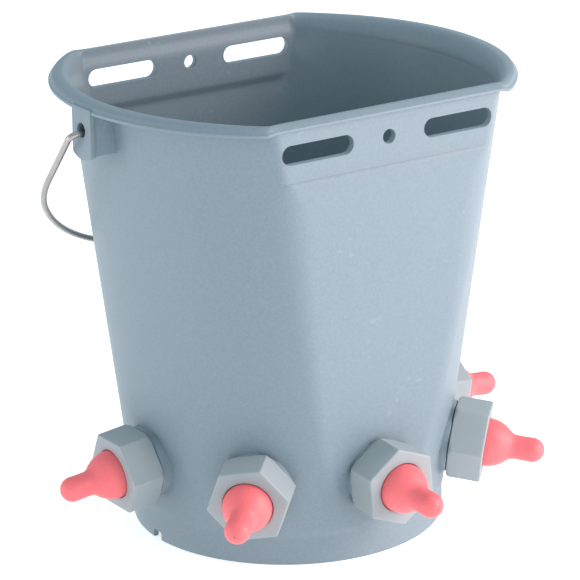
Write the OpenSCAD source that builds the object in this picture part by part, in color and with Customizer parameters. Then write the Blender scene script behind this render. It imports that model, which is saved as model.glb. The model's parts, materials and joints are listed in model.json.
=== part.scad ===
// Hanging lamb feeding bucket: a moulded bucket with two flat sides, a wire bail
// and five screw-on teats, each with its own spigot, seal, lock ring, nut and valve.
// Millimetres, +Z up. The origin is on the bucket's axis at floor level. The flat
// sides face -Y and +Y, and the bail turns about an axis along X.

/* [Bucket] */
// Height of the bucket, floor to rim
bucket_h = 287.8; // [240:0.1:320]
// Thickness of the moulded wall
wall = 2.6; // [2:0.1:4]
// Radius of the curved ends at floor level
end_r = 96.2; // [90:0.1:100]
// Growth of the end radius for each millimetre of height
end_flare = 0.1835; // [0.15:0.0005:0.2]
// Lean of each curved end's axis towards the other end, in degrees
end_lean = 4; // [3:0.1:5]
// Half distance between the flat sides at floor level
flat_y = 96; // [92:0.1:100]
// Half distance between the flat sides at the ledge below the slots
ledge_y = 111.1; // [106:0.1:116]
// Height of the ledge below the slots
ledge_z = 249.5; // [230:0.5:256]
// Half distance between the upright slot bands
band_y = 110; // [104:0.1:114]
// Thickness of the upright slot bands
band_t = 4.5; // [2.6:0.1:6]

/* [Foot] */
// Radius of the foot ring
foot_r = 98; // [97:0.1:102]
// Height of the foot ring
foot_h = 19; // [12:1:30]
// Height of the floor's underside
floor_z = 10; // [5:0.5:16]
// Thickness of the floor
floor_t = 3; // [2:0.1:5]
// Width of the vent notch at each end of the foot ring
notch_w = 9; // [4:0.5:14]
// Height of the vent notch
notch_h = 5.5; // [2:0.5:8]

/* [Rim] */
// Outer radius of the rim flange
rim_r = 142.7; // [138:0.1:148]
// Depth of the turned-down rim edge
rim_drop = 6; // [4:0.5:12]
// Thickness of the rim flange
rim_t = 3.2; // [2:0.1:5]
// Half distance between the cut faces of the rim, over the flat sides
rim_y = 113; // [111:0.1:118]
// Height of the lip along each flat side
lip_h = 4.8; // [4:0.1:12]

/* [Hanging slots] */
// Height of the slots and of the round hole
slot_z = 268.3; // [262:0.1:274]
// Length of a slot
slot_l = 49.6; // [40:0.1:56]
// Width of a slot
slot_w = 11.4; // [8:0.1:16]
// Distance from the middle to a slot's centre
slot_x = 50.3; // [45:0.1:56]
// Diameter of the round hole between the slots
peg_d = 8.5; // [5:0.1:12]

/* [Ears] */
// Width of an ear plate
ear_w = 21; // [18:0.5:30]
// Thickness of an ear plate
ear_t = 3.5; // [2.5:0.1:5]
// Outer face of an ear plate, from the middle of the bucket
ear_x = 143; // [141:0.1:146]
// Height of the bail hole
ear_hole_z = 271; // [266:0.1:274]
// Diameter of the bail hole
ear_hole_d = 8.5; // [6:0.1:10]
// Radius of the ear plate's rounded end, about its hole
ear_end_r = 18.4; // [15:0.1:22]

/* [Bail] */
// Diameter of the wire
wire_d = 4; // [3:0.1:5]
// Height of the axis that the bail turns about
pivot_z = 269; // [266:0.1:272]
// Distance of a straight leg from the middle, at the axis
leg_x = 150.3; // [148:0.1:156]
// Lean of a leg towards the middle, in degrees
leg_lean = 5; // [3:0.1:5.5]
// Length of a straight leg, from the axis
leg_l = 51; // [48:1:56]
// Bend radius between a leg and the crown
bend_r = 90; // [86:1:95]
// Half angle of the crown
crown_half = 60; // [58:0.5:62]
// Radius of the elbow at the ear
elbow_r = 5; // [4:0.5:6]
// Inner end of the wire
pin_x = 134.5; // [132:0.1:137]
// Diameter of the upset head on the wire's end
head_d = 10; // [9:0.5:12]
// Angle of the hanging bail from straight down, against the rear flat side
hang_angle = 44.3; // [44.3:0.1:60]

/* [Teat stations] */
// Height at which a teat's axis meets the wall
station_z = 53.4; // [50:0.1:70]
// Angle of the second and fourth stations from the bucket's X axis
station_angle = 44; // [38:1:50]
// Diameter of the hole in the wall
port_d = 36; // [34:0.5:38]
// Outer diameter of the threaded spigot
spigot_d = 35.5; // [33:0.5:37]
// Inner diameter of the spigot
spigot_bore = 28; // [24:0.5:30]
// Diameter of the spigot's inner flange
flange_d = 44; // [40:1:50]
// Outer end of the spigot, from the wall
spigot_end = 15; // [12:0.5:18]
// Diameter of the round lock ring
ring_d = 45; // [42:0.5:48]
// Outer face of the lock ring, from the wall
ring_face = 1.9; // [1.5:0.1:3]
// Nut size across its flats
nut_af = 45; // [41:0.1:50]
// Rear face of the nut, from the wall
nut_back = 2.4; // [2.2:0.1:4]
// Front face of the nut, from the wall
nut_front = 24; // [22:0.5:28]
// Opening in the nut's front
nut_open = 30.8; // [30.7:0.1:33]
// Bore of the nut over the spigot's thread
nut_bore = 36.1; // [36:0.1:38]

/* [Teats] */
// Radius of the bulb where it leaves the nut
bulb_r = 15.1; // [13:0.1:15.1]
// Length of the bulb's rounded part
bulb_l = 17; // [14:0.5:20]
// Radius of the nipple
nipple_r = 7.6; // [6:0.1:9]
// How far the tip stands in front of the nut
teat_l = 36.5; // [32:0.5:42]
// Radius of the hollow between bulb and nipple
neck_fillet = 5; // [2:0.5:8]
// Thickness of the rubber
teat_t = 2.4; // [1.5:0.1:3]
// Diameter of the teat's flange
teat_flange_d = 35; // [32:0.5:36]
// Thickness of the teat's flange
teat_flange_t = 3.5; // [2:0.1:3.7]
// Diameter of the hole in the tip
milk_hole_d = 1.2; // [1:0.1:3]
// Diameter of the non-return valve ball
ball_d = 14; // [13:0.5:14.5]
// Diameter of the valve seat
seat_d = 11; // [9:0.5:12]

/* [Hidden] */
// Number of teat stations
STATIONS = 5;
STATION_PARTS = ["spigot", "wall_seal", "lock_ring", "cap_nut", "teat", "valve_ball"];
$fn = 96;

// Turn of each nut about its axis, as screwed up
NUT_TURNS = [0.5, 11, 37.5, 0, 33];
// How much further out the fittings sit on the round ends than elsewhere
STAND_OUT = [2.5, 0, 0, 0, 2.5];
flat_slope = (ledge_y - flat_y) / ledge_z;
ledge_step_h = 1.6;
// The wall thickens on its inside below the ledge, over this height
band_root_h = 5;
rim_edge_t = 2.4;
rib_t = 2.6;
rib_gap = 6.9;
// Below and above the bucket, where tools run past it
under = 40;
over = 60;

// Where the bail's arcs join, in its own plane: x sideways, l away from the axis
bend_cx = leg_x - leg_l * sin(leg_lean) - bend_r * cos(leg_lean);
bend_cl = leg_l * cos(leg_lean) - bend_r * sin(leg_lean);
crown_r = (bend_cx + bend_r * sin(crown_half)) / sin(crown_half);
crown_l = bend_cl + bend_r * cos(crown_half) + crown_r * (1 - cos(crown_half));
elbow_x = leg_x - elbow_r * (1 + sin(leg_lean)) * tan(leg_lean) - elbow_r * cos(leg_lean);

// Inner faces behind the wall
seal_back = 6.5;
spigot_back = 9.5;
seat_face = -4;
shoulder = 18.9;
teat_back = spigot_end + 0.1;
bulb_s = nut_front + 0.3;
tip_s = nut_front + teat_l;
ball_gap = 0.15;
ball_s = seat_face + sqrt(pow(ball_d / 2, 2) - pow(seat_d / 2, 2)) + ball_gap;

// Station 1 is at the -X end, 3 on the front flat side, 5 at the +X end
function station_side(i) = i < 3 ? -1 : 1;
function station_beta(i) = (i == 1 || i == 5) ? 0 : station_angle;
function end_shift(z) = -z * tan(end_lean);
function end_radius(z) = end_r + z * (end_flare + pow(tan(end_lean), 2) * end_flare);
function station_turn(i) = i == 3 ? 0 : station_side(i) * (90 - station_beta(i));
function station_at(i) = i == 3
    ? [0, -(flat_y + flat_slope * station_z), station_z]
    : [station_side(i) * (end_shift(station_z) + end_radius(station_z) * cos(station_beta(i)) + STAND_OUT[i - 1]),
       -end_radius(station_z) * sin(station_beta(i)), station_z];
function station_droop(i) = i == 3
    ? atan(flat_slope)
    : atan(end_radius(1) - end_radius(0) + end_shift(1) * cos(station_beta(i)));

// Bulb profile: radius at a distance u in front of the bulb's widest place
function bulb_radius(u, r, l) = r * sqrt(1 - pow(u / l, 2));

// Places a sub-part at station i: its axis is local Z, outwards from the wall
module at_station(i) {
    translate(station_at(i)) rotate([0, 0, station_turn(i)])
        rotate([90 + station_droop(i), 0, 0]) children();
}

// A tube or ring along local Z from s0 to s1
module ring(d, bore, s0, s1) {
    difference() {
        translate([0, 0, s0]) cylinder(d = d, h = s1 - s0);
        translate([0, 0, s0 - 1]) cylinder(d = bore, h = s1 - s0 + 2);
    }
}

// One curved end, set in by a distance
module end_cone(side, inset) {
    rotate([0, -side * end_lean, 0]) translate([0, 0, -under])
        cylinder(r1 = end_r - inset - under * end_flare,
                 r2 = end_r - inset + (bucket_h + over) * end_flare,
                 h = bucket_h + over + under, $fn = 240);
}

// The flat sides, set in by a distance, between two heights
module flats(inset, z0, z1) {
    root = inset > 0 ? band_root_h : 0;
    y0 = flat_y - inset + flat_slope * z0;
    y1 = ledge_y - inset - flat_slope * root;
    y2 = band_y - (inset > 0 ? band_t : 0);
    z_ledge = ledge_z - root;
    z_band = ledge_z + ledge_step_h;
    rotate([90, 0, 90]) linear_extrude(height = 400, center = true)
        polygon([[-y0, z0], [y0, z0], [y1, z_ledge], [y2, z_band], [y2, z1],
                 [-y2, z1], [-y2, z_band], [-y1, z_ledge]]);
}

// The bucket's outside as a solid, or its hollow when set in by the wall
module bucket_form(inset, z0, z1) {
    intersection() {
        flats(inset, z0, z1);
        end_cone(1, inset);
        end_cone(-1, inset);
    }
}

// The rim flange on both curved ends, cut off over the flat sides
module rim() {
    intersection() {
        rotate_extrude()
            polygon([[120, bucket_h - rim_t], [120, bucket_h], [rim_r - 3.2, bucket_h],
                     [rim_r - 0.9, bucket_h - 1], [rim_r, bucket_h - 3],
                     [rim_r, bucket_h - rim_drop], [rim_r - rim_edge_t, bucket_h - rim_drop],
                     [rim_r - rim_edge_t, bucket_h - rim_t]]);
        translate([-200, -rim_y, 0]) cube([400, 2 * rim_y, bucket_h + 1]);
    }
}

// The lips along the tops of the flat sides
module lips() {
    for (side = [-1, 1])
        translate([-80, side > 0 ? rim_y - 8 : -rim_y, bucket_h - lip_h]) cube([160, 8, lip_h]);
}

// One ear: a plate flush with the rim's edge, and two ribs back to the wall
module ear() {
    top = bucket_h - rim_t + 0.5;
    translate([ear_x - ear_t, -ear_w / 2, ear_hole_z]) cube([ear_t, ear_w, top - ear_hole_z]);
    intersection() {
        translate([ear_x - ear_t, -ear_w / 2, ear_hole_z - 30]) cube([ear_t, ear_w, 30.5]);
        translate([0, 0, ear_hole_z]) rotate([0, 90, 0]) cylinder(r = ear_end_r, h = 200);
    }
    for (side = [-1, 1])
        translate([110, side > 0 ? rib_gap : -rib_gap - rib_t, ear_hole_z - ear_end_r + 3])
            cube([ear_x - ear_t - 110 + 0.5, rib_t, top - ear_hole_z + ear_end_r - 3]);
}

// A slot through both flat sides
module slot(x) {
    reach = (slot_l - slot_w) / 2;
    for (dx = [-reach, reach])
        translate([x + dx, 0, slot_z]) rotate([90, 0, 0])
            cylinder(d = slot_w, h = 300, center = true);
    translate([x, 0, slot_z]) cube([2 * reach, 300, slot_w], center = true);
}

module bucket() {
    color([0.55, 0.65, 0.70]) difference() {
        union() {
            bucket_form(0, 1, bucket_h);
            cylinder(r = foot_r, h = foot_h);
            rim();
            lips();
            ear();
            mirror([1, 0, 0]) ear();
        }
        bucket_form(wall, floor_z + floor_t, bucket_h + 1);
        translate([0, 0, -1]) cylinder(r = foot_r - 3.5, h = floor_z + 1);
        for (x = [-slot_x, slot_x]) slot(x);
        translate([0, 0, slot_z]) rotate([90, 0, 0]) cylinder(d = peg_d, h = 300, center = true);
        for (side = [-1, 1]) {
            translate([side * ear_x, 0, ear_hole_z]) rotate([0, 90, 0])
                cylinder(d = ear_hole_d, h = 12, center = true);
            translate([side * foot_r, 0, notch_h / 2 - 1])
                cube([20, notch_w, notch_h + 2], center = true);
        }
        for (i = [1 : STATIONS])
            at_station(i) translate([0, 0, -15]) cylinder(d = port_d, h = 30);
    }
}

// Points of the bail's right half in its own plane, from the head to the crown's
// middle: x, z, and the direction in that plane that faces out of the bend
function bail_arc(x, z, r, a0, a1, steps) =
    [for (k = [0 : steps]) let (a = a0 + (a1 - a0) * k / steps) [x + r * cos(a), z + r * sin(a), a]];
function half_route() = concat(
    [[pin_x + 0.4, 0, 90]],
    bail_arc(elbow_x, -elbow_r, elbow_r, 90, -leg_lean, 7),
    bail_arc(bend_cx, -bend_cl, bend_r, -leg_lean, crown_half - 90, 7),
    [for (k = [1 : 11]) let (a = crown_half - 90 - crown_half * k / 11)
        [crown_r * cos(a), crown_r - crown_l + crown_r * sin(a), a]]);
function mirrored(route) =
    [for (k = [len(route) - 2 : -1 : 0]) [-route[k].x, route[k].y, -180 - route[k].z]];

// The wire as one tube swept along its route
module wire(route, sides) {
    rings = len(route);
    points = [for (p = route) for (k = [0 : sides - 1]) let (t = 360 * k / sides, r = wire_d / 2)
        [p.x + r * cos(t) * cos(p.z), r * sin(t), p.y + r * cos(t) * sin(p.z)]];
    skin = [for (j = [0 : rings - 2]) for (k = [0 : sides - 1]) let (n = (k + 1) % sides)
        [j * sides + k, j * sides + n, (j + 1) * sides + n, (j + 1) * sides + k]];
    ends = [[for (k = [sides - 1 : -1 : 0]) k],
            [for (k = [0 : sides - 1]) (rings - 1) * sides + k]];
    polyhedron(points, concat(skin, ends));
}

// Wire bail, hanging against the rear flat side, with an upset head at each end
module bail_handle() {
    color([0.75, 0.74, 0.72]) translate([0, 0, pivot_z]) rotate([hang_angle, 0, 0]) {
        wire(concat(half_route(), mirrored(half_route())), 12);
        for (side = [-1, 1])
            translate([side * (pin_x + 0.8), 0, 0]) rotate([0, 90, 0])
                cylinder(d = head_d, h = 1.6, center = true);
    }
}

// Threaded spigot: inner flange, tube, valve seat and a cross that cages the ball
module spigot(i) {
    bar_s = spigot_end - 3.8;
    flange_s = -seal_back - STAND_OUT[i - 1];
    back_s = -spigot_back - STAND_OUT[i - 1];
    color([0.58, 0.63, 0.65]) at_station(i) {
        difference() {
            union() {
                translate([0, 0, back_s]) cylinder(d = flange_d, h = flange_s - back_s);
                translate([0, 0, back_s]) cylinder(d = spigot_d, h = spigot_end - back_s);
            }
            translate([0, 0, seat_face]) cylinder(d = spigot_bore, h = spigot_end - seat_face + 1);
            translate([0, 0, back_s - 1]) cylinder(d = seat_d, h = 2 - back_s);
        }
        for (turn = [0, 90]) rotate([0, 0, turn]) {
            translate([-spigot_bore / 2 - 0.2, -1, bar_s]) cube([spigot_bore + 0.4, 2, 2]);
            for (side = [-1, 1])
                translate([side > 0 ? ball_d / 2 + 0.4 : -spigot_bore / 2 - 0.2, -1, seat_face - 0.1])
                    cube([spigot_bore / 2 + 0.2 - ball_d / 2 - 0.4, 2, bar_s - seat_face + 0.5]);
        }
    }
}

// Rubber washer between the spigot's flange and the inside of the wall
module wall_seal(i) {
    color([0.16, 0.17, 0.18]) intersection() {
        at_station(i) ring(flange_d, spigot_d, -seal_back - STAND_OUT[i - 1], 2);
        bucket_form(wall, floor_z + floor_t, bucket_h);
    }
}

// Round ring that locks the spigot against the outside of the wall
module lock_ring(i) {
    color([0.55, 0.60, 0.63]) difference() {
        at_station(i) ring(ring_d, spigot_d, -8, ring_face);
        bucket_form(0, 1, bucket_h);
    }
}

// Hexagon cap nut that clamps the teat's flange on the spigot
module cap_nut(i) {
    ac = nut_af / cos(30);
    color([0.62, 0.65, 0.67]) at_station(i) rotate([0, 0, NUT_TURNS[i - 1]]) difference() {
        intersection() {
            translate([0, 0, nut_back]) cylinder(d = ac, h = nut_front - nut_back, $fn = 6);
            rotate_extrude() polygon([[0, nut_back], [ac / 2 - 1.4, nut_back], [ac / 2 + 0.2, nut_back + 1.6],
                                      [ac / 2 + 0.2, nut_front - 0.8], [ac / 2 - 0.8, nut_front],
                                      [0, nut_front]]);
        }
        translate([0, 0, nut_back - 1]) cylinder(d = nut_bore, h = shoulder - nut_back + 1);
        cylinder(d = nut_open, h = nut_front + 1);
    }
}

// Teat outline from its widest place to the tip, for a bulb and a nipple radius
function teat_side(r, l, n, tip) = concat(
    [for (u = [0 : 2 : 12]) [bulb_radius(u, r, l), bulb_s + u]],
    [[n + 1.6, bulb_s + 14.3], [n + 0.4, bulb_s + 16], [n, bulb_s + 18]],
    [for (a = [0 : 15 : 75]) [n * cos(a), tip - n + n * sin(a)]],
    [[0, tip]]);

// Rubber teat: flange, bulb and nipple, hollow, with a hole in its tip
module teat(i) {
    inner = bulb_r - teat_t;
    color([0.95, 0.42, 0.44]) at_station(i) difference() {
        union() {
            rotate_extrude() polygon(concat(
                [[0, teat_back], [bulb_r - 0.4, teat_back], [bulb_r - 0.4, nut_front - 3]],
                teat_side(bulb_r, bulb_l, nipple_r, tip_s)));
            translate([0, 0, teat_back]) cylinder(d = teat_flange_d, h = teat_flange_t);
        }
        rotate_extrude() polygon(concat(
            [[0, teat_back - 1], [inner, teat_back - 1]],
            teat_side(inner, bulb_l - teat_t, nipple_r - teat_t, tip_s - teat_t)));
        translate([0, 0, teat_back]) cylinder(d = milk_hole_d, h = tip_s);
    }
}

// Ball of the non-return valve, resting on the spigot's seat
module valve_ball(i) {
    color([0.9, 0.9, 0.88]) at_station(i) translate([0, 0, ball_s]) sphere(d = ball_d);
}

bucket();
bail_handle();
for (i = [1 : STATIONS]) {
    spigot(i);
    wall_seal(i);
    lock_ring(i);
    cap_nut(i);
    teat(i);
    valve_ball(i);
}
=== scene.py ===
import json
import math

import bmesh
import bpy
from mathutils import Matrix, Vector


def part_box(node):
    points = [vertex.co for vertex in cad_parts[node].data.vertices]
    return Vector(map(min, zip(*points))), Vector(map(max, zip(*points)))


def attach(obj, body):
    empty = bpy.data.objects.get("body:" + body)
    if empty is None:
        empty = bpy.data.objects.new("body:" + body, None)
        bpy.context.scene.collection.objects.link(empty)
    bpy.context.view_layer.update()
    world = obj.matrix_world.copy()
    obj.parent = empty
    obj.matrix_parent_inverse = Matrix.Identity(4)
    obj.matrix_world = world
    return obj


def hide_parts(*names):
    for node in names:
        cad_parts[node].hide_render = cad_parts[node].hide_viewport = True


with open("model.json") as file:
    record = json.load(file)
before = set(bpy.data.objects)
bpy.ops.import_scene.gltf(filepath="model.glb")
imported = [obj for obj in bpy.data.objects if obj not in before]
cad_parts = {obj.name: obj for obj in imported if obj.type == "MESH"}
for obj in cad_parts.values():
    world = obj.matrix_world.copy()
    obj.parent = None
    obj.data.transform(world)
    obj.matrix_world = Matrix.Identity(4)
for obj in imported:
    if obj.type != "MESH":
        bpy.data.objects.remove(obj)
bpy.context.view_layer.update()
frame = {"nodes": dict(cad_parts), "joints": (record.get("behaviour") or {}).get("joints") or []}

# Lamb feeding bucket. Lengths here are millimetres; they become metres in the meshes.
MM = 0.001
STATIONS = 5
RIM_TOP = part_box("bucket")[1].z / MM
RIM_RADIUS = 142.7
RIM_HALF_WIDTH = 113.0
WALL = 2.6
LEAN = math.tan(math.radians(4))
LEDGE_Z = 249.5
BAND_Y = 110.0
BAND_INSIDE_Y = 105.5
SLOT_Z = 268.3
EAR_HOLE_Z = 271.0
FLOOR_TOP = 13.0
FOOT_RADIUS = 96.2
FLARE = 0.1835
BAIL_HANG = math.radians(44.3)
NUT_TURNS = (0.5, 11, 37.5, 0, 33)


def nothing_selected():
    if bpy.context.object and bpy.context.object.mode != "OBJECT":
        bpy.ops.object.mode_set(mode="OBJECT")
    bpy.ops.object.select_all(action="DESELECT")


def pick(*pieces):
    """Selects pieces and makes the first one active."""
    nothing_selected()
    for piece in pieces:
        piece.select_set(True)
    bpy.context.view_layer.objects.active = pieces[0]
    return pieces[0]


def smooth(t):
    t = min(max(t, 0.0), 1.0)
    return t * t * (3 - 2 * t)


def mix(a, b, t):
    return a + (b - a) * t


def in_metres(point):
    return Vector(point) * MM


# Modelling helpers -----------------------------------------------------------

def built_up(name, rows, closed=False):
    """A form drawn up row by row: a circle, extruded and set to each row's points.
    A closed form runs back into its first row, as a ring does; others keep flat ends."""
    nothing_selected()
    bpy.ops.mesh.primitive_circle_add(vertices=len(rows[0]), radius=MM,
                                      fill_type="NOTHING" if closed else "NGON")
    piece = bpy.context.object
    piece.name = piece.data.name = name
    bpy.ops.object.mode_set(mode="EDIT")
    bpy.ops.mesh.select_all(action="SELECT")
    mesh = bmesh.from_edit_mesh(piece.data)
    place = mesh.verts.layers.int.new("place")
    for number, vertex in enumerate(mesh.verts):
        vertex[place] = number
        vertex.co = in_metres(rows[0][number])
    bmesh.update_edit_mesh(piece.data)
    for row in rows[1:]:
        bpy.ops.mesh.extrude_region()
        mesh = bmesh.from_edit_mesh(piece.data)
        place = mesh.verts.layers.int["place"]
        for vertex in mesh.verts:
            if vertex.select:
                vertex.co = in_metres(row[vertex[place]])
        bmesh.update_edit_mesh(piece.data)
    bpy.ops.mesh.select_all(action="SELECT")
    if closed:
        bpy.ops.mesh.remove_doubles(threshold=1e-6)
    bpy.ops.mesh.normals_make_consistent(inside=False)
    bpy.ops.object.mode_set(mode="OBJECT")
    return piece


def turned(name, profile, steps=64):
    """A ring turned about its own axis from a closed profile of (radius, along) points."""
    nothing_selected()
    bpy.ops.mesh.primitive_circle_add(vertices=len(profile), radius=MM)
    piece = bpy.context.object
    piece.name = piece.data.name = name
    bpy.ops.object.mode_set(mode="EDIT")
    mesh = bmesh.from_edit_mesh(piece.data)
    for vertex, (radius, along) in zip(mesh.verts, profile):
        vertex.co = in_metres((radius, 0, along))
    bmesh.update_edit_mesh(piece.data)
    bpy.ops.mesh.select_all(action="SELECT")
    bpy.ops.mesh.spin(steps=steps, angle=math.tau, center=(0, 0, 0), axis=(0, 0, 1))
    bpy.ops.mesh.select_all(action="SELECT")
    bpy.ops.mesh.remove_doubles(threshold=1e-6)
    bpy.ops.mesh.normals_make_consistent(inside=False)
    bpy.ops.object.mode_set(mode="OBJECT")
    return piece


def block(name, low, high):
    """A rectangular bar between two corners, in millimetres."""
    nothing_selected()
    middle = [(a + b) / 2 * MM for a, b in zip(low, high)]
    bpy.ops.mesh.primitive_cube_add(size=1, location=middle,
                                    scale=[(b - a) * MM for a, b in zip(low, high)])
    bpy.ops.object.transform_apply(location=True, rotation=True, scale=True)
    piece = bpy.context.object
    piece.name = name
    return piece


def modified(piece, kind, **settings):
    """Adds a modifier, sets it and applies it."""
    pick(piece)
    modifier = piece.modifiers.new(kind.title(), kind)
    for key, value in settings.items():
        setattr(modifier, key, value)
    bpy.ops.object.modifier_apply(modifier=modifier.name)
    return piece


def eased(piece, width, segments=2, angle=40):
    return modified(piece, "BEVEL", width=width * MM, segments=segments,
                    limit_method="ANGLE", angle_limit=math.radians(angle),
                    use_clamp_overlap=True)


def combined(piece, others, operation):
    """Joins others to piece, or cuts them out of it, and clears them away."""
    for other in others:
        modified(piece, "BOOLEAN", operation=operation, object=other, solver="EXACT")
        bpy.data.objects.remove(other)
    return piece


def joined(name, *pieces):
    pick(*pieces)
    if len(pieces) > 1:
        bpy.ops.object.join()
    pieces[0].name = pieces[0].data.name = name
    return pieces[0]


def rounded(piece, angle=35):
    pick(piece)
    bpy.ops.object.shade_smooth_by_angle(angle=math.radians(angle))
    return piece


def copied(piece, name, matrix):
    twin = piece.copy()
    twin.data = piece.data.copy()
    twin.name = twin.data.name = name
    bpy.context.scene.collection.objects.link(twin)
    twin.data.transform(matrix)
    return twin


def flowing(points, steps=4):
    """A smooth line through points, with extra points between each two."""
    line = []
    for k in range(len(points) - 1):
        before, here = Vector(points[max(k - 1, 0)]), Vector(points[k])
        ahead, beyond = Vector(points[k + 1]), Vector(points[min(k + 2, len(points) - 1)])
        for step in range(steps):
            t = step / steps
            line.append(0.5 * (2 * here + (ahead - before) * t
                               + (2 * before - 5 * here + 4 * ahead - beyond) * t * t
                               + (3 * here - before - 3 * ahead + beyond) * t ** 3))
    return [tuple(p) for p in line] + [tuple(points[-1])]


def frame_joint(name):
    return next(j for j in frame["joints"] if j["name"] == name)


def station_place(number):
    """Where a teat sits: local Z runs out of the wall, local X along it."""
    joint = frame_joint(f"cap_nut_{number}_turn")
    out = Vector(joint["axis"]).normalized()
    along = Vector((-out.y, out.x, 0)).normalized()
    up = out.cross(along)
    return Matrix.Translation(joint["pos_m"]) @ Matrix((along, up, out)).transposed().to_4x4()


# The bucket's form -----------------------------------------------------------

ARC, CORNER, FLAT = 30, 10, 16


def flat_side(z):
    """Half distance between the flat sides: it grows up to the ledge, whose bevelled edge
    runs up into a shallow groove at the foot of the band."""
    if z > 251.6:
        return BAND_Y - 0.25 * (1 - smooth((z - 251.6) / 4.4))
    if z > 251.2:
        return mix(110.2, BAND_Y - 0.25, (z - 251.2) / 0.4)
    if z > LEDGE_Z:
        return mix(111.05, 110.2, (z - LEDGE_Z) / (251.2 - LEDGE_Z))
    return 96 + 15.1 / LEDGE_Z * z


def inner_flat_side(z):
    """The same on the inside: the band is thicker than the wall, and thins towards the rim."""
    below = flat_side(min(z, LEDGE_Z)) - WALL
    band = mix(BAND_INSIDE_Y, BAND_Y - WALL, smooth((z - 275) / 8))
    return mix(below, band, smooth((z - 243.5) / 7.5))


def corner_radius(z):
    return 14 + 0.07 * z if z < 236 else mix(30.5, 9, smooth((z - 236) / 17))


def outline(z, offset=0.0, inside=False):
    """Points and outward directions around the wall at a height, set out by offset."""
    middle = -z * LEAN
    radius = FOOT_RADIUS + FLARE * (1 + LEAN ** 2) * z + offset
    side = inner_flat_side(z) if inside else flat_side(z) + offset
    corner = corner_radius(z) + offset
    start = middle + math.sqrt(max((radius - corner) ** 2 - (side - corner) ** 2, 1))
    turn = math.atan2(side - corner, start - middle)
    quarter = [(middle + radius * math.cos(turn * k / ARC), radius * math.sin(turn * k / ARC),
                turn * k / ARC) for k in range(ARC)]
    for k in range(CORNER):
        a = mix(turn, math.pi / 2, k / CORNER)
        quarter.append((start + corner * math.cos(a), side - corner + corner * math.sin(a), a))
    quarter += [(start * (1 - k / FLAT), side, math.pi / 2) for k in range(FLAT)]
    half = quarter + [(0, side, math.pi / 2)] + [(-x, y, math.pi - a) for x, y, a in quarter[::-1]]
    return half + [(x, -y, -a) for x, y, a in half[-2:0:-1]]


def wall_row(z, offset=0.0):
    return [(x, y, z) for x, y, _ in outline(z, offset)]


def inner_row(z):
    return [(x, y, z) for x, y, _ in outline(z, -WALL, inside=True)]


def round_row(radius, z):
    """A round row whose points stand below the wall's own."""
    bearings = [math.atan2(y, x) for x, y, _ in outline(26)]
    return [(radius * math.cos(a), radius * math.sin(a), z) for a in bearings]


def blended_row(first, second, t):
    return [tuple(mix(p, q, t) for p, q in zip(a, b)) for a, b in zip(first, second)]


def rim_reach(x, y, a):
    """How far the rim stands out from the wall at a point, up to its round or its cut edge."""
    ahead = x * math.cos(a) + y * math.sin(a)
    to_round = -ahead + math.sqrt(ahead ** 2 - x * x - y * y + RIM_RADIUS ** 2)
    to_cut = (RIM_HALF_WIDTH - abs(y)) / max(abs(math.sin(a)), 1e-3)
    if to_round - to_cut >= 40:
        return to_cut
    gap = 0.9
    return to_round - gap * math.log(1 + math.exp((to_round - to_cut) / gap))


def rim_rows():
    """The turned-over rim: its flange on the round ends, its solid lip on the flat sides."""
    h = RIM_TOP
    # (out from the wall, share of the reach, height) for the flange, then for the lip
    steps = [
        ((0.0, 0, -5.2), (0.0, 0, -5.7)), ((0.4, 0, -3.9), (0.1, 0, -5.1)),
        ((1.4, 0, -3.2), (0.4, 0, -4.8)), ((-3.1, 1, -3.2), (-2.0, 1, -4.8)),
        ((-2.4, 1, -3.7), (-1.4, 1, -4.8)), ((-2.4, 1, -5.5), (-1.0, 1, -4.8)),
        ((-1.9, 1, -6.0), (-0.7, 1, -4.75)), ((-0.7, 1, -6.0), (-0.3, 1, -4.6)),
        ((-0.15, 1, -5.75), (-0.08, 1, -4.4)), ((0.0, 1, -5.3), (0.0, 1, -4.1)),
        ((0.0, 1, -4.35), (0.0, 1, -3.7)), ((-0.12, 1, -4.0), (-0.08, 1, -3.42)),
        ((-0.6, 1, -3.65), (-0.3, 1, -3.12)), ((-1.0, 1, -3.25), (-0.8, 1, -2.72)),
        ((-1.4, 1, -2.5), (-1.45, 1, -2.2)), ((-1.95, 1, -1.6), (-2.2, 1, -1.6)),
        ((-2.7, 1, -0.9), (-3.0, 1, -0.98)), ((-3.8, 1, -0.42), (-3.9, 1, -0.38)),
    ]
    ring = outline(h - 5)
    reaches = [rim_reach(*p) for p in ring]
    rows = []
    for flange, lip in steps:
        row = []
        for (x, y, a), reach in zip(ring, reaches):
            t = smooth((7.0 - reach) / 3.6)
            d = mix(flange[0] + flange[1] * reach, lip[0] + lip[1] * reach, t)
            row.append((x + d * math.cos(a), y + d * math.sin(a), h + mix(flange[2], lip[2], t)))
        rows.append(row)
    # The crest, and the hollow curve from it down to the inner wall
    for share, drop in ((-0.3, 0.015), (0, 0), (0.1, 0.025), (0.27, 0.11), (0.45, 0.24),
                        (0.63, 0.43), (0.78, 0.7), (0.89, 1.14), (0.97, 1.7)):
        row = []
        for (x, y, a), reach in zip(ring, reaches):
            crest = -2.1 + (reach - 3) * 0.89 if reach < 7.6 else 2 + (reach - 7.6) * 0.369
            span = crest + WALL
            z = h - drop * span
            # Low down, the curve follows the wall, which leans in on the round ends
            d = crest - share * (span if share > 0 else min(span, reach - crest))
            d -= 0.18 * max(h - 5 - z, 0)
            row.append((x + d * math.cos(a), y + d * math.sin(a), z))
        rows.append(row)
    return rows + rows_below_rim([z for x, y, z in rows[-1]])


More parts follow.
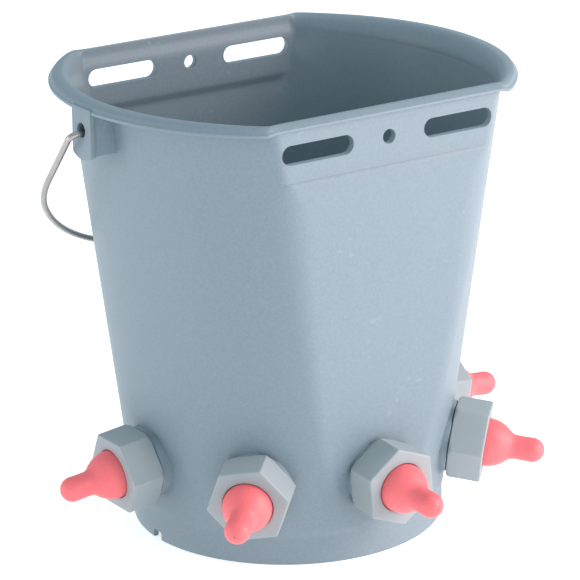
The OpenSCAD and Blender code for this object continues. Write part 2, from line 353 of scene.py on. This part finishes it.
def rows_below_rim(starts):
    """Rows down the inner wall from the heights at which the rim's hollow curve ends."""
    levels, rows = {}, []
    for share in (0.1, 0.2, 0.32, 0.46, 0.62, 0.8, 1):
        row = []
        for number, start in enumerate(starts):
            z = round(mix(start, 268, share), 1)
            if z not in levels:
                levels[z] = inner_row(z)
            row.append(levels[z][number])
        rows.append(row)
    return rows


def bucket_rows():
    rows = [round_row(30, 10), round_row(60, 10), round_row(93, 10), round_row(94.2, 9.7),
            round_row(94.5, 9), round_row(94.5, 0.8), round_row(94.75, 0.2), round_row(95.3, 0),
            round_row(97.2, 0), round_row(97.75, 0.25), round_row(98, 0.9), round_row(98, 8),
            round_row(98, 15.5)]
    foot_top = round_row(98, 20)
    for z, t in ((17, 0.04), (18.5, 0.3), (20, 0.7), (21.5, 0.95), (23, 1)):
        level = [(x, y, z) for x, y, _ in foot_top]
        rows.append(blended_row(level, wall_row(z), t))
    rows += [wall_row(z) for z in range(30, 247, 8)]
    rows += [wall_row(z) for z in (248, 249.1, 249.4, 249.7, 250.4, 251.1, 251.3, 251.5, 251.7,
                                   252.4, 253.2, 254, 255, 256.2, 260, 266, 272, 278)]
    rows += rim_rows()
    rows += [inner_row(z) for z in (262, 254, 251, 250, 248.8, 247.5, 246.2, 245, 244, 242)]
    rows += [inner_row(z) for z in range(235, 31, -10)]
    rows += [wall_row(z, -WALL) for z in (22, 17)]
    rows += [wall_row(15, -2.75), wall_row(14, -3.2), wall_row(13.3, -4.2),
             wall_row(FLOOR_TOP, -5.8)]
    rows += [[(x * f, y * f, FLOOR_TOP) for x, y, _ in wall_row(13, -5.8)] for f in (0.7, 0.35)]
    return rows


def outer_form():
    """The solid space that the lower wall encloses, for cutting what fits against it."""
    return built_up("outer_form", [wall_row(z) for z in range(20, 111, 6)])


def stadium(length, width, grow, sides=16):
    """Points round a long hole with round ends, as (x, z)."""
    radius = width / 2 + grow
    reach = (length - width) / 2
    points = []
    for k in range(sides + 1):
        a = -math.pi / 2 + math.pi * k / sides
        points.append((reach + radius * math.cos(a), radius * math.sin(a)))
    return points + [(-x, -z) for x, z in points]


def band_hole(x, length, width, side):
    """The tool for a hole in the upright band, with its two edges rounded over."""
    rows = []
    for y, grow in ((112.0, 2.2), (110.15, 0.45), (110.0, 0.3), (109.8, 0.14), (109.5, 0.03),
                    (109.2, 0.0), (106.2, 0.0), (105.8, 0.1), (105.5, 0.3), (105.35, 0.45),
                    (103.6, 2.2)):
        rows.append([(x + u, side * y, SLOT_Z + w) for u, w in stadium(length, width, grow)])
    return built_up("band_hole", rows)


def round_hole(radius, side):
    """The tool for the bail hole in an ear."""
    rows = []
    for x, grow in ((144.5, 1.9), (143.0, 0.4), (142.6, 0.1), (142.3, 0.0), (140.2, 0.0),
                    (139.9, 0.1), (139.5, 0.4), (137.5, 2.4)):
        rows.append([(side * x, (radius + grow) * math.cos(math.tau * k / 40),
                      EAR_HOLE_Z + (radius + grow) * math.sin(math.tau * k / 40)) for k in range(40)])
    return built_up("round_hole", rows)


def ear(side):
    """An ear: a plate with a round lower end, flush with the rim's edge, and two ribs."""
    top = RIM_TOP - 3.0
    edge = [(-10.5, top), (-10.5, EAR_HOLE_Z)]
    for k in range(17):
        a = math.radians(mix(-124.8, -55.2, k / 16))
        edge.append((18.4 * math.cos(a), EAR_HOLE_Z + 18.4 * math.sin(a)))
    edge += [(10.5, EAR_HOLE_Z), (10.5, top)]
    plate = built_up("ear_plate", [[(side * x, y, z) for y, z in edge]
                                   for x in (139.5, 141.2, 143.0)])
    eased(plate, 0.45, 2, 50)
    ribs = [eased(block("ear_rib", (min(side * 112, side * 140), y - 1.3, 256.2),
                        (max(side * 112, side * 140), y + 1.3, top)), 0.3, 2, 50)
            for y in (-8.2, 8.2)]
    # The ribs stop inside the wall, clear of the bucket's hollow
    levels = ((240, -2.2), (270, -2.2), (275, -2.1), (279, -1.5), (281, -1.1), (283, -0.4),
              (284.9, 0.7), (290, 2))
    hollow = built_up("hollow", [[(x, y, z) for x, y, _ in wall_row(min(z, 283), d)]
                                 for z, d in levels])
    combined(ribs[0], [copied(hollow, "hollow_copy", Matrix.Identity(4))], "DIFFERENCE")
    combined(ribs[1], [hollow], "DIFFERENCE")
    return combined(plate, ribs, "UNION")


def make_bucket():
    bucket = built_up("bucket_shell", bucket_rows())
    combined(bucket, [joined("ears", ear(-1), ear(1))], "UNION")
    tools = [band_hole(x, 49.6, 11.4, side) for x in (-50.3, 50.3) for side in (-1, 1)]
    tools += [band_hole(0, 8.501, 8.5, side) for side in (-1, 1)]
    tools += [round_hole(4.25, side) for side in (-1, 1)]
    tools += [eased(block("notch", (min(side * 90, side * 106), -4.5, -6),
                          (max(side * 90, side * 106), 4.5, 5.5)), 1.2, 3, 50) for side in (-1, 1)]
    for number in range(1, STATIONS + 1):
        ring = [(18 * math.cos(math.tau * k / 64), 18 * math.sin(math.tau * k / 64))
                for k in range(64)]
        port = built_up("port", [[(x, y, s) for x, y in ring] for s in (-15, 15)])
        port.data.transform(station_place(number))
        tools.append(port)
    combined(bucket, [joined("tools", *tools)], "DIFFERENCE")
    return rounded(bucket, 32)


# Fittings, modelled once about their own axis ------------------------------------

def make_lock_ring():
    return turned("lock_ring_model", [
        (17.8, -8), (22.5, -8), (22.5, 1.25), (22.38, 1.6), (22.05, 1.85),
        (21.6, 1.9), (18.4, 1.9), (17.95, 1.75), (17.8, 1.4)], 96)


def hexagon(flats, corner, count=7, straight=9):
    """A hexagon with rounded corners, as (x, y, share of the way from mid-flat to corner)."""
    points = []
    apothem = flats / 2
    for side in range(6):
        middle = math.radians(60 * side + 30)
        # along the flat whose middle faces this way, then round the next corner
        reach = (apothem - corner) * math.tan(math.radians(30))
        for k in range(straight):
            u = mix(-reach, reach, k / (straight - 1))
            points.append((apothem * math.cos(middle) - u * math.sin(middle),
                           apothem * math.sin(middle) + u * math.cos(middle)))
        hub = (apothem - corner) / math.cos(math.radians(30))
        for k in range(1, count):
            a = middle + math.radians(60) * k / count
            points.append((hub * math.cos(middle + math.radians(30)) + corner * math.cos(a),
                           hub * math.sin(middle + math.radians(30)) + corner * math.sin(a)))
    return points


def make_cap_nut():
    """A hexagon nut: its corners cut back behind, eased edges, a round opening and a bore."""
    outline_points = hexagon(45, 1.1)

    def hex_row(s, inset=0.0, limit=99.0):
        row = []
        for x, y in outline_points:
            r = math.hypot(x, y)
            new = min(r - inset, limit)
            row.append((x * new / r, y * new / r, s))
        return row

    def ring_row(radius, s):
        return [(radius * x / math.hypot(x, y), radius * y / math.hypot(x, y), s)
                for x, y in outline_points]

    rows = [ring_row(18.05, 2.4), ring_row(20.5, 2.4), hex_row(2.4, 0.4, 24.2),
            hex_row(2.5, 0.12, 24.35), hex_row(2.8, 0.0, 24.7), hex_row(3.4, 0.0, 25.2),
            hex_row(4.1, 0.0), hex_row(4.9, 0.0),
            hex_row(9, 0.0), hex_row(15, 0.0), hex_row(20, 0.0), hex_row(22.9, 0.0),
            hex_row(23.35, 0.08), hex_row(23.7, 0.3), hex_row(23.92, 0.65), hex_row(24.0, 1.1),
            hex_row(24.0, 2.4), ring_row(17.4, 24.0), ring_row(16.2, 24.0), ring_row(15.75, 23.88),
            ring_row(15.48, 23.6), ring_row(15.4, 23.1), ring_row(15.4, 18.9), ring_row(18.05, 18.9),
            ring_row(18.05, 10), ring_row(18.05, 2.4)]
    return built_up("cap_nut_model", rows, closed=True)


def bulb(u, radius=15.1, length=17.0):
    return radius * math.sqrt(1 - (u / length) ** 2)


def make_teat():
    """A rubber teat: flange in the nut, round bulb, nipple with a round tip and a milk hole."""
    face, tip = 24.0, 60.5
    curve = [(bulb(u), face + 0.3 + u) for u in (0, 1.5, 3, 4.5, 6, 7.5, 9, 10.5)]
    curve += [(10.85, face + 12.3), (9.45, face + 13.9), (8.35, face + 15.5), (7.75, face + 17.3),
              (7.55, face + 20), (7.6, face + 25), (7.7, tip - 7.9)]
    dome = [(7.7 * math.cos(math.radians(a)), tip - 7.7 + 7.7 * math.sin(math.radians(a)))
            for a in (10, 22, 34, 46, 58, 70)]
    curve += dome + [(1.5, tip - 0.12), (0.6, tip - 0.03)]
    outside = [(14.7, 15.1), (17.2, 15.1), (17.5, 15.4), (17.5, 18.2), (17.2, 18.55), (15.2, 18.6),
               (14.8, 19.2), (14.7, 21.0), (14.95, 22.8)] + flowing(curve, 3)
    inside = [(0.4, tip - 0.2), (0.4, tip - 2.2), (3.6, tip - 3.3), (5.2, tip - 6), (5.3, face + 19),
              (7.1, face + 13.5), (10.6, face + 8.5), (12.6, face + 1), (12.4, 15.1)]
    return turned("teat_model", outside + inside, 72)


def make_spigot(longer):
    """A threaded spigot: inner flange, tube, valve seat, ball guides and a real thread.
    Its flange stands further back by the length it is made longer."""
    tube = turned("spigot_model", [
        (5.5, -9.5 - longer), (21.5, -9.5 - longer), (22, -9.1 - longer), (22, -6.9 - longer),
        (21.6, -6.5 - longer), (17.75, -6.5 - longer), (17.75, 1.9),
        (16.9, 2.7), (16.9, 14.3), (16.5, 15), (14.4, 15), (14, 14.7), (14, -4), (6.3, -4),
        (5.5, -4.7)], 72)
    nothing_selected()
    bpy.ops.mesh.primitive_circle_add(vertices=4, radius=MM)
    thread = bpy.context.object
    for vertex, (radius, along) in zip(thread.data.vertices,
                                       [(16.6, 2.6), (17.72, 3.5), (17.72, 3.9), (16.6, 4.8)]):
        vertex.co = in_metres((radius, 0, along))
    modified(thread, "SCREW", angle=math.tau, screw_offset=3 * MM, iterations=3, steps=64,
             render_steps=64, axis="Z", use_merge_vertices=True, merge_threshold=1e-6)
    pick(thread)
    bpy.ops.object.mode_set(mode="EDIT")
    bpy.ops.mesh.select_all(action="DESELECT")
    bpy.ops.mesh.select_non_manifold()
    bpy.ops.mesh.fill()
    bpy.ops.mesh.select_all(action="SELECT")
    bpy.ops.mesh.normals_make_consistent(inside=False)
    bpy.ops.object.mode_set(mode="OBJECT")
    bars = []
    for turn in (0, 90):
        parts = [block("cage_bar", (-14.2, -1, 11.2), (14.2, 1, 13.2)),
                 block("guide", (7.4, -1, -4.1), (14.2, 1, 11.7)),
                 block("guide", (-14.2, -1, -4.1), (-7.4, 1, 11.7))]
        for part in parts:
            eased(part, 0.25, 2, 50)
            part.data.transform(Matrix.Rotation(math.radians(turn), 4, "Z"))
        bars += parts
    return joined("spigot_model", tube, thread, *bars)


def bail_line():
    """The bail's centre line in its own plane, from end to end, with its bend direction."""
    leg_x, leg, bend, elbow = 150.3, 51.0, 90.0, 5.0
    lean, crown_half = math.radians(5), math.radians(60)
    bend_x = leg_x - leg * math.sin(lean) - bend * math.cos(lean)
    bend_l = leg * math.cos(lean) - bend * math.sin(lean)
    crown = (bend_x + bend * math.sin(crown_half)) / math.sin(crown_half)
    crown_l = bend_l + bend * math.cos(crown_half) + crown * (1 - math.cos(crown_half))
    elbow_x = leg_x - elbow * (1 + math.sin(lean)) * math.tan(lean) - elbow * math.cos(lean)
    leg_start = (elbow_x + elbow * math.cos(-lean), -elbow + elbow * math.sin(-lean))
    leg_end = (bend_x + bend * math.cos(-lean), -bend_l + bend * math.sin(-lean))
    half = []

    def arc(x, z, radius, first, last, steps):
        for k in range(steps + 1):
            a = mix(first, last, k / steps)
            half.append((x + radius * math.cos(a), z + radius * math.sin(a), a))

    for x in (139, 142, 144):
        half.append((x, 0, math.pi / 2))
    arc(elbow_x, -elbow, elbow, math.pi / 2, -lean, 10)
    for share in (0.15, 0.3, 0.45, 0.6, 0.75, 0.9):
        half.append((mix(leg_start[0], leg_end[0], share),
                     mix(leg_start[1], leg_end[1], share), -lean))
    arc(bend_x, -bend_l, bend, -lean, crown_half - math.pi / 2, 18)
    for k in range(1, 25):
        a = crown_half - math.pi / 2 - crown_half * k / 24
        half.append((crown * math.cos(a), crown - crown_l + crown * math.sin(a), a))
    return half + [(-x, z, -math.pi - a) for x, z, a in half[-2::-1]]


def make_bail():
    """The bail: wire drawn along its line, and an upset head on each end inside the ears."""
    line = bail_line()
    heads = [(134.55, 3.6), (134.75, 4.5), (135.1, 5.0), (135.7, 5.0), (136.0, 4.6), (136.1, 3.6),
             (136.3, 2.5), (136.8, 2.05), (138, 2.0)]
    stations = [(x, 0, math.pi / 2, r) for x, r in heads] + [(x, z, a, 2.0) for x, z, a in line] \
        + [(-x, 0, -math.pi * 1.5, r) for x, r in heads[::-1]]
    rows = [[(x + r * math.cos(t) * math.cos(a), r * math.sin(t), z + r * math.cos(t) * math.sin(a))
             for t in (math.tau * k / 20 for k in range(20))] for x, z, a, r in stations]
    bail = built_up("bail_wire", rows)
    pivot = Vector(frame_joint("bail_swing")["pos_m"])
    bail.data.transform(Matrix.Translation(pivot) @ Matrix.Rotation(BAIL_HANG, 4, "X"))
    return rounded(bail, 50)


# Finishes --------------------------------------------------------------------

class Value:
    """A shader socket that takes part in plain sums."""

    def __init__(self, finish, socket):
        self.finish, self.socket = finish, socket

    def _math(self, operation, first, second):
        return self.finish.node("ShaderNodeMath", {"operation": operation}, {0: first, 1: second})

    def __add__(self, other): return self._math("ADD", self, other)
    def __radd__(self, other): return self._math("ADD", other, self)
    def __mul__(self, other): return self._math("MULTIPLY", self, other)


class Finish:
    """One material, with one way of adding nodes to it."""

    def __init__(self, name, **constants):
        self.material = bpy.data.materials.new(name)
        self.material.use_nodes = True
        self.tree = self.material.node_tree
        self.shader = next(n for n in self.tree.nodes if n.type == "BSDF_PRINCIPLED")
        for key, value in constants.items():
            self.shader.inputs[key.replace("_", " ")].default_value = value

    def node(self, kind, settings=None, inputs=None, output=0):
        made = self.tree.nodes.new(kind)
        for key, value in (settings or {}).items():
            setattr(made, key, value)
        for key, value in (inputs or {}).items():
            if isinstance(value, Value):
                self.tree.links.new(value.socket, made.inputs[key])
            else:
                made.inputs[key].default_value = value
        return Value(self, made.outputs[output])

    def here(self, stretch=(1, 1, 1), turn=(0, 0, 0)):
        """The place on the piece, stretched and turned for a pattern."""
        place = self.node("ShaderNodeTexCoord", output="Object")
        return self.node("ShaderNodeMapping", {},
                         {"Vector": place, "Scale": stretch, "Rotation": turn})

    def noise(self, scale, detail=2.0, rough=0.5, where=None):
        return self.node("ShaderNodeTexNoise", {},
                         {"Vector": where or self.here(), "Scale": scale, "Detail": detail,
                          "Roughness": rough})

    def band(self, value, low, high):
        """Rises from 0 where value is low to 1 where it is high, level beyond them."""
        return self.node("ShaderNodeMapRange", {"interpolation_type": "SMOOTHSTEP"},
                         {"Value": value, "From Min": low, "From Max": high})

    def colour(self, amount, first, second):
        return self.node("ShaderNodeMix", {"data_type": "RGBA"},
                         {0: amount, 6: first if isinstance(first, Value) else (*first, 1),
                          7: second if isinstance(second, Value) else (*second, 1)}, output=2)

    def bump(self, height, distance, strength=1.0, under=None):
        inputs = {"Height": height, "Distance": distance, "Strength": strength}
        if under:
            inputs["Normal"] = under
        return self.node("ShaderNodeBump", {}, inputs)

    def feed(self, **sockets):
        for key, value in sockets.items():
            self.tree.links.new(value.socket, self.shader.inputs[key.replace("_", " ")])
        return self.material


def fine_marks(finish, scale, turn, thin):
    """Short fine marks: stretched noise, kept only where another noise is high."""
    lines = finish.noise(scale, 1.0, 0.4, finish.here((1, 14, 1), turn))
    patches = finish.noise(scale * 0.16, 2.0, 0.5)
    return finish.band(lines, thin, thin + 0.035) * finish.band(patches, 0.5, 0.66)


def moulded_bucket_plastic():
    finish = Finish("moulded_bucket_plastic", Specular_IOR_Level=0.45)
    cloud = finish.noise(7, 3, 0.5)
    fleck = finish.noise(620, 2, 0.6)
    marks = fine_marks(finish, 190, (0.3, 0.2, 0.5), 0.68)
    rub = finish.band(finish.noise(34, 5, 0.65), 0.50, 0.78)
    tone = finish.colour(cloud, (0.203, 0.264, 0.306), (0.228, 0.290, 0.333))
    tone = finish.colour(finish.band(fleck, 0.35, 0.65) * 0.06, tone, (0.52, 0.58, 0.62))
    tone = finish.colour(marks * 0.10, tone, (0.62, 0.67, 0.71))
    rough = 0.42 + cloud * 0.06 + rub * 0.05 + marks * 0.10
    wave = finish.bump(finish.noise(13, 2, 0.5), 0.0009, 0.25)
    grain = finish.bump(finish.noise(1500, 3, 0.6), 0.00005, 0.5, wave)
    relief = finish.bump(marks, 0.00003, 0.4, grain)
    return finish.feed(Base_Color=tone, Roughness=rough, Normal=relief)


def moulded_fitting_plastic():
    finish = Finish("moulded_fitting_plastic", Specular_IOR_Level=0.45)
    cloud = finish.noise(60, 3, 0.55)
    marks = fine_marks(finish, 230, (0.2, 0.7, 0.4), 0.68)
    tone = finish.colour(cloud, (0.325, 0.372, 0.392), (0.372, 0.416, 0.434))
    tone = finish.colour(marks * 0.15, tone, (0.55, 0.57, 0.58))
    rough = 0.40 + cloud * 0.08 + marks * 0.10
    wave = finish.bump(finish.noise(70, 2), 0.0003, 0.25)
    grain = finish.bump(finish.noise(1700, 3, 0.6), 0.00005, 0.5, wave)
    return finish.feed(Base_Color=tone, Roughness=rough, Normal=grain)


def zinc_plated_wire():
    finish = Finish("zinc_plated_wire", Metallic=1.0)
    spangle = finish.noise(420, 3, 0.6)
    dull = finish.noise(75, 4, 0.6)
    drawn = finish.noise(900, 2, 0.5, finish.here((0.12, 1, 1)))
    tone = finish.colour(dull, (0.36, 0.33, 0.31), (0.56, 0.51, 0.48))
    tone = finish.colour(finish.band(spangle, 0.55, 0.75) * 0.4, tone, (0.22, 0.21, 0.20))
    rough = 0.18 + dull * 0.16 + spangle * 0.10
    relief = finish.bump(drawn + spangle * 0.6, 0.00006, 0.5)
    return finish.feed(Base_Color=tone, Roughness=rough, Normal=relief)


def soft_teat_rubber():
    finish = Finish("soft_teat_rubber", Specular_IOR_Level=0.5)
    cloud = finish.noise(55, 3, 0.5)
    fleck = finish.noise(900, 2, 0.6)
    tone = finish.colour(cloud, (0.97, 0.150, 0.165), (1.0, 0.195, 0.212))
    tone = finish.colour(finish.band(fleck, 0.5, 0.75) * 0.18, tone, (1.0, 0.34, 0.35))
    rough = 0.40 + cloud * 0.10 + fleck * 0.06
    wave = finish.bump(finish.noise(120, 2), 0.0002, 0.3)
    skin = finish.bump(finish.noise(1300, 3, 0.6), 0.00006, 0.5, wave)
    return finish.feed(Base_Color=tone, Roughness=rough, Normal=skin)


def black_seal_rubber():
    finish = Finish("black_seal_rubber", Specular_IOR_Level=0.4)
    cloud = finish.noise(140, 3, 0.6)
    tone = finish.colour(cloud, (0.012, 0.013, 0.015), (0.035, 0.037, 0.040))
    grain = finish.bump(finish.noise(900, 3), 0.00006, 0.6)
    return finish.feed(Base_Color=tone, Roughness=0.62 + cloud * 0.2, Normal=grain)


def white_valve_plastic():
    finish = Finish("white_valve_plastic", Specular_IOR_Level=0.5)
    cloud = finish.noise(120, 3, 0.6)
    tone = finish.colour(cloud, (0.74, 0.74, 0.70), (0.84, 0.84, 0.81))
    grain = finish.bump(finish.noise(700, 2), 0.00004, 0.4)
    return finish.feed(Base_Color=tone, Roughness=0.22 + cloud * 0.15, Normal=grain)


def studio_floor():
    finish = Finish("studio_floor", Specular_IOR_Level=0.1, Emission_Strength=0.58, Emission_Color=(1, 1, 1, 1))
    tone = finish.colour(finish.noise(3, 2), (0.90, 0.90, 0.90), (0.92, 0.92, 0.92))
    return finish.feed(Base_Color=tone, Roughness=0.75 + finish.noise(40) * 0.1)


# Camera and light ------------------------------------------------------------

def set_camera():
    azimuth, elevation, roll = (math.radians(a) for a in (-34.055, 18.726, -0.632))
    back = Vector((math.sin(azimuth) * math.cos(elevation), -math.cos(azimuth) * math.cos(elevation),
                   math.sin(elevation)))
    level = Vector((math.cos(azimuth), math.sin(azimuth), 0))
    rise = back.cross(level)
    right = level * math.cos(roll) + rise * math.sin(roll)
    up = rise * math.cos(roll) - level * math.sin(roll)
    place = Vector((0, 0, 0.12)) + back * 1.91669 + right * 0.002539 + up * 0.022376
    lens = bpy.data.cameras.new("camera")
    lens.sensor_width, lens.lens = 36, 190.07
    lens.clip_start, lens.clip_end = 0.05, 50
    camera = bpy.data.objects.new("camera", lens)
    bpy.context.scene.collection.objects.link(camera)
    turn = Matrix((right, up, back)).transposed().to_4x4()
    camera.matrix_world = Matrix.Translation(place) @ turn
    bpy.context.scene.camera = camera


def softbox(name, place, aim, size, power, colour=(1, 1, 1)):
    lamp = bpy.data.lights.new(name, "AREA")
    lamp.shape, lamp.size, lamp.size_y = "RECTANGLE", size[0], size[1]
    lamp.energy, lamp.color = power, colour
    light = bpy.data.objects.new(name, lamp)
    light.visible_camera = False
    bpy.context.scene.collection.objects.link(light)
    direction = Vector(place) - Vector(aim)
    light.matrix_world = Matrix.Translation(place) @ direction.to_track_quat("Z", "Y").to_matrix().to_4x4()


def set_studio():
    nothing_selected()
    bpy.ops.mesh.primitive_plane_add(size=14)
    floor = bpy.context.object
    floor.name = "studio_floor"
    floor.data.materials.append(studio_floor())
    world = bpy.data.worlds.new("studio")
    world.use_nodes = True
    backdrop = world.node_tree.nodes["Background"]
    backdrop.inputs["Color"].default_value = (0.74, 0.92, 1.0, 1)
    backdrop.inputs["Strength"].default_value = 0.74
    bpy.context.scene.world = world
    bpy.context.scene.view_settings.view_transform = "Standard"
    softbox("key", (0.86, -0.92, 0.62), (0, 0, 0.2), (1.0, 1.0), 19.4, (1.0, 0.84, 0.82))
    softbox("left_edge", (-1.6, 0.7, 0.4), (0, 0, 0.15), (0.4, 0.8), 6, (1.0, 0.82, 0.78))


# Making it all ---------------------------------------------------------------

set_camera()
set_studio()

FINISHES = {"bucket_plastic": moulded_bucket_plastic(), "fitting_plastic": moulded_fitting_plastic(),
            "zinc_wire": zinc_plated_wire(), "teat_rubber": soft_teat_rubber(),
            "seal_rubber": black_seal_rubber(), "valve_plastic": white_valve_plastic()}


def fitted(piece, body, slot, *nodes):
    """Gives a piece its finish, hangs it on the body it rides on, and hides the parts it stands for."""
    piece.data.materials.clear()
    piece.data.materials.append(FINISHES[slot])
    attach(piece, body)
    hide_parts(*nodes)


fitted(make_bucket(), "bucket_body", "bucket_plastic", "bucket")
fitted(make_bail(), "bail", "zinc_wire", "bail_handle")

models = {"lock_ring": make_lock_ring(), "cap_nut": rounded(make_cap_nut(), 35),
          "teat": rounded(make_teat(), 40), "spigot": rounded(make_spigot(0), 35),
          "longer_spigot": rounded(make_spigot(2.5), 35)}
wall_space = outer_form()
for number in range(1, STATIONS + 1):
    place = station_place(number)
    # Each nut stops at its own angle, where its thread pulls tight
    turn = Matrix.Rotation(math.radians(NUT_TURNS[number - 1]), 4, "Z")
    ring = copied(models["lock_ring"], f"locking_ring_{number}", place)
    combined(ring, [copied(wall_space, "wall_copy", Matrix.Identity(4))], "DIFFERENCE")
    fitted(rounded(ring, 35), "bucket_body", "bucket_plastic", f"lock_ring_{number}")
    fitted(copied(models["cap_nut"], f"hexagon_nut_{number}", place @ turn), f"cap_{number}",
           "fitting_plastic", f"cap_nut_{number}")
    fitted(copied(models["teat"], f"rubber_teat_{number}", place), f"teat_unit_{number}",
           "teat_rubber", f"teat_{number}")
    spigot = models["longer_spigot" if number in (1, STATIONS) else "spigot"]
    fitted(copied(spigot, f"threaded_spigot_{number}", place), "bucket_body",
           "fitting_plastic", f"spigot_{number}")
    for node, slot in ((f"wall_seal_{number}", "seal_rubber"), (f"valve_ball_{number}", "valve_plastic")):
        solid = frame["nodes"][node]
        solid.data.materials.clear()
        solid.data.materials.append(FINISHES[slot])
for model in (wall_space, *models.values()):
    bpy.data.objects.remove(model)
